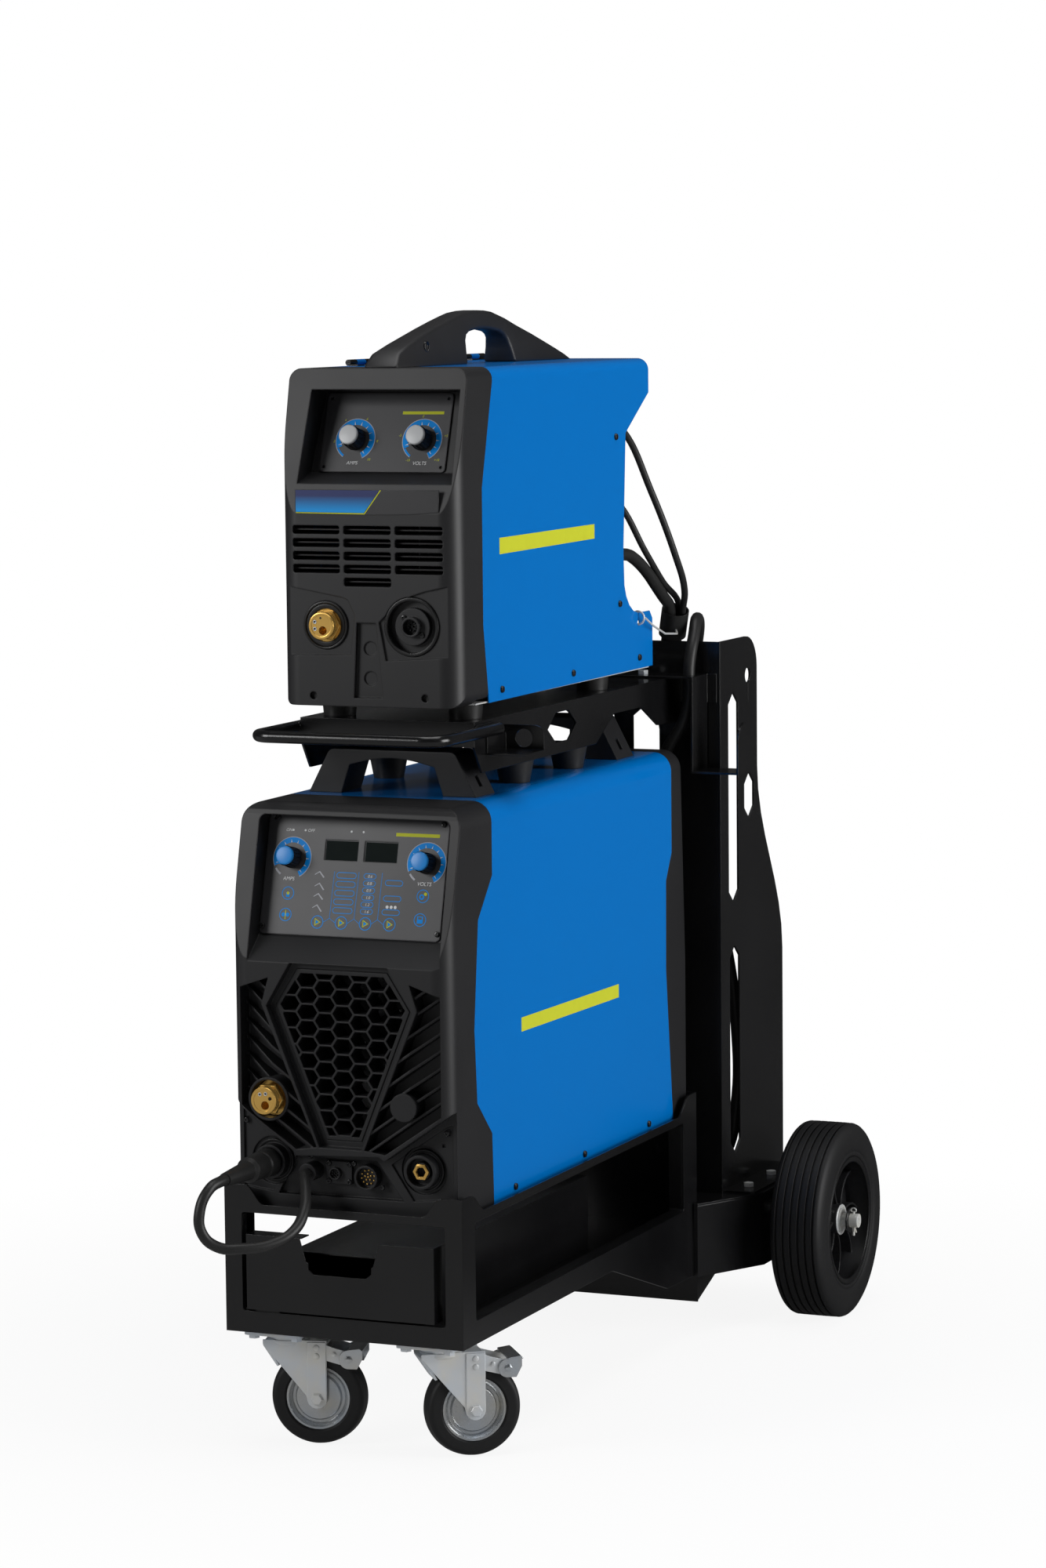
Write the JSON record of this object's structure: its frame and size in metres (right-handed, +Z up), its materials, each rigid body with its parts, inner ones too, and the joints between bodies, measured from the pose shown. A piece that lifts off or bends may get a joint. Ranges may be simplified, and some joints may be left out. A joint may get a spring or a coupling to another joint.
{
  "type": "mig welder on cart",
  "caption": "Twin-unit MIG welding set: power source with wire feeder on a steel cart with drawer, gas cylinder rack, braked swivel castors and large rear wheels.",
  "frame": {"origin": "on the floor, under the middle of the set without its front lead", "axes": "+X to the right of someone facing the control panels, +Y from the front to the gas rack, +Z up"},
  "size_m": [0.692, 1.3139, 1.451],
  "materials": {
    "black_steel": "satin black powder coat",
    "zinc": "zinc plated",
    "aluminium_rim": "cast",
    "blue_paint": "gloss blue",
    "black_moulding": "fine grain",
    "fascia": "charcoal film",
    "brass": "plain",
    "rubber": "matt",
    "tyre": "matt",
    "knob_blue": "satin",
    "knob_grey": "satin",
    "switch_red": "satin"
  },
  "bodies": {
    "cart": {"base_frame": "black_steel", "drawer_housing": "black_steel", "gas_platform": "black_steel", "gas_rack": "black_steel", "feeder_shelf": "black_steel", "shelf_handle": "black_steel", "torch_holder": "black_steel", "lead_hanger": "black_steel", "door_hinges": "black_steel", "wheel_axle": "zinc", "fasteners": "zinc", "castor_plates": "zinc", "power_base": "zinc", "snap_hook": "zinc", "feeder_base": "zinc", "wire_drive": "zinc", "power_cover": "blue_paint", "feeder_cover": "blue_paint", "power_front_panel": "black_moulding", "power_rear_panel": "black_moulding", "power_grille": "black_moulding", "power_handles": "black_moulding", "power_sockets": "black_moulding", "feeder_front_panel": "black_moulding", "feeder_handle": "black_moulding", "power_fascia": "fascia", "feeder_fascia": "fascia", "power_torch_socket": "brass", "feeder_sockets": "brass", "rubber_feet": "rubber", "cable_plugs": "rubber", "cable_wrap": "rubber", "polarity_lead": "rubber", "weld_cable": "rubber", "control_cable": "rubber", "gas_hose": "rubber"},
    "drawer_body": {"drawer": "black_steel"},
    "castor_left": {"castor_fork_left": "zinc"},
    "castor_right": {"castor_fork_right": "zinc"},
    "castor_wheel_left": {"castor_tyre_left": "tyre", "castor_rim_left": "aluminium_rim"},
    "castor_wheel_right": {"castor_tyre_right": "tyre", "castor_rim_right": "aluminium_rim"},
    "castor_pedal_left": {"castor_brake_left": "zinc"},
    "castor_pedal_right": {"castor_brake_right": "zinc"},
    "rear_wheel_left": {"rear_tyre_left": "tyre", "rear_rim_left": "black_moulding"},
    "rear_wheel_right": {"rear_tyre_right": "tyre", "rear_rim_right": "black_moulding"},
    "knob_current": {"current_knob": "knob_blue"},
    "knob_voltage": {"voltage_knob": "knob_blue"},
    "knob_speed": {"speed_knob": "knob_grey"},
    "knob_trim": {"trim_knob": "knob_grey"},
    "fan": {"power_fan": "black_moulding"},
    "switch": {"power_switch": "switch_red"},
    "door": {"feeder_door": "blue_paint"},
    "spool": {"wire_spool": "black_moulding"},
    "roll_drive": {"drive_roll": "zinc"},
    "arm": {"pressure_arm": "black_steel"},
    "roll_pressure": {"pressure_roll": "zinc"}
  },
  "joints": [
    {"name": "drawer_slide", "type": "slide", "parent": "cart", "child": "drawer_body", "axis": [0, -1, 0], "range_m": [0, 0.42]},
    {"name": "castor_left_swivel", "type": "hinge", "parent": "cart", "child": "castor_left", "pos_m": [-0.107, -0.501, 0.14], "axis": [0, 0, 1], "continuous": true},
    {"name": "castor_right_swivel", "type": "hinge", "parent": "cart", "child": "castor_right", "pos_m": [0.107, -0.501, 0.14], "axis": [0, 0, 1], "continuous": true},
    {"name": "castor_left_roll", "type": "hinge", "parent": "castor_left", "child": "castor_wheel_left", "pos_m": [-0.06836, -0.49065, 0.0625], "axis": [-0.2588, 0.9659, 0], "continuous": true},
    {"name": "castor_right_roll", "type": "hinge", "parent": "castor_right", "child": "castor_wheel_right", "pos_m": [0.13895, -0.47693, 0.0625], "axis": [-0.6018, 0.7986, 0], "continuous": true},
    {"name": "castor_left_brake", "type": "hinge", "parent": "castor_left", "child": "castor_pedal_left", "pos_m": [-0.02779, -0.47978, 0.1155], "axis": [-0.2588, 0.9659, 0], "range_deg": [0, 12]},
    {"name": "castor_right_brake", "type": "hinge", "parent": "castor_right", "child": "castor_pedal_right", "pos_m": [0.17249, -0.45165, 0.1155], "axis": [-0.6018, 0.7986, 0], "range_deg": [0, 12]},
    {"name": "rear_left_roll", "type": "hinge", "parent": "cart", "child": "rear_wheel_left", "pos_m": [-0.281, 0.438, 0.14], "axis": [1, 0, 0], "continuous": true},
    {"name": "rear_right_roll", "type": "hinge", "parent": "cart", "child": "rear_wheel_right", "pos_m": [0.281, 0.438, 0.14], "axis": [1, 0, 0], "continuous": true},
    {"name": "current_turn", "type": "hinge", "parent": "cart", "child": "knob_current", "pos_m": [-0.089, -0.50421, 0.76185], "axis": [0, -0.9681, 0.2504], "range_deg": [-150, 150]},
    {"name": "voltage_turn", "type": "hinge", "parent": "cart", "child": "knob_voltage", "pos_m": [0.0985, -0.50421, 0.76185], "axis": [0, -0.9681, 0.2504], "range_deg": [-150, 150]},
    {"name": "speed_turn", "type": "hinge", "parent": "cart", "child": "knob_speed", "pos_m": [-0.042, -0.39819, 1.28904], "axis": [0, -0.9478, 0.319], "range_deg": [-150, 150]},
    {"name": "trim_turn", "type": "hinge", "parent": "cart", "child": "knob_trim", "pos_m": [0.0515, -0.39819, 1.28904], "axis": [0, -0.9478, 0.319], "range_deg": [-150, 150]},
    {"name": "fan_spin", "type": "hinge", "parent": "cart", "child": "fan", "pos_m": [0, -0.48, 0.524], "axis": [0, 1, 0], "continuous": true},
    {"name": "switch_turn", "type": "hinge", "parent": "cart", "child": "switch", "pos_m": [-0.09, 0.188, 0.714], "axis": [0, 1, 0], "range_deg": [0, 90]},
    {"name": "door_swing", "type": "hinge", "parent": "cart", "child": "door", "pos_m": [-0.1, -0.1, 1.3855], "axis": [0, 1, 0], "range_deg": [0, 100]},
    {"name": "spool_spin", "type": "hinge", "parent": "cart", "child": "spool", "pos_m": [-0.054, -0.062, 1.173], "axis": [1, 0, 0], "continuous": true},
    {"name": "drive_spin", "type": "hinge", "parent": "cart", "child": "roll_drive", "pos_m": [-0.06, -0.322, 1.0404], "axis": [1, 0, 0], "continuous": true},
    {"name": "arm_lift", "type": "hinge", "parent": "cart", "child": "arm", "pos_m": [-0.06, -0.284, 1.078], "axis": [-1, 0, 0], "range_deg": [0, 60]},
    {"name": "pressure_spin", "type": "hinge", "parent": "arm", "child": "roll_pressure", "pos_m": [-0.06, -0.322, 1.0716], "axis": [1, 0, 0], "continuous": true}
  ],
  "couplings": [
    {"joint": "pressure_spin", "follows": "drive_spin", "ratio": -1}
  ]
}
